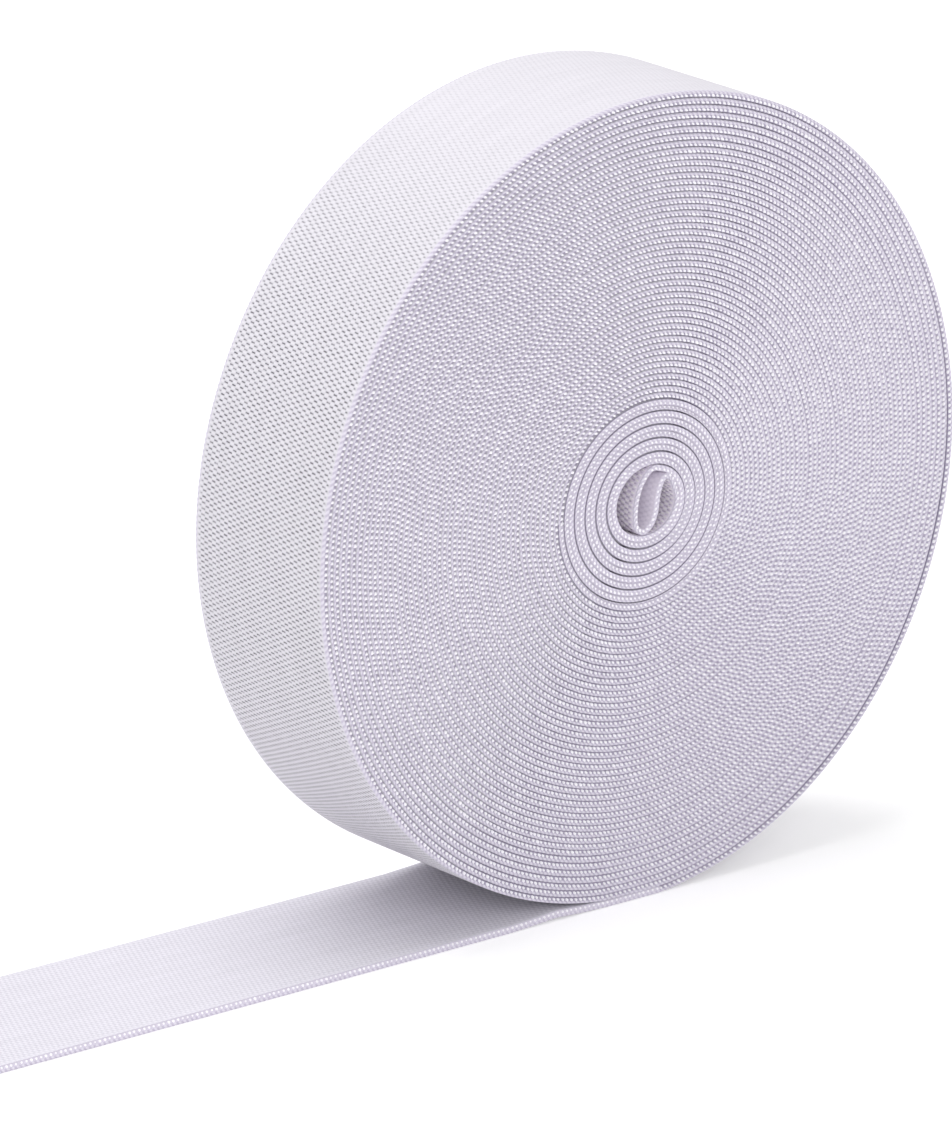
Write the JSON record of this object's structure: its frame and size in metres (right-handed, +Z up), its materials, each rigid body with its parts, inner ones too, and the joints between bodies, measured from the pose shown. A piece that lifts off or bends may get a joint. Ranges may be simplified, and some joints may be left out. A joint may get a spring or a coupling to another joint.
{
  "type": "roll of elastic",
  "caption": "Wound roll of white knitted elastic tape standing on its rim, its inner end folded in a hairpin and its loose end lying out flat.",
  "frame": {"origin": "on the floor, on the roll's flat spot, straight below the roll's axis and in the middle of the tape's width", "axes": "+Z up; the roll's axis runs along Y with the pictured face towards -Y; the loose end lies along -X"},
  "size_m": [0.1654, 0.025, 0.1065],
  "materials": {
    "elastic": "matte knitted elastic, white with a faint lilac cast"
  },
  "bodies": {
    "root": {"wound_roll": "elastic", "loose_end": "elastic"}
  },
  "joints": []
}
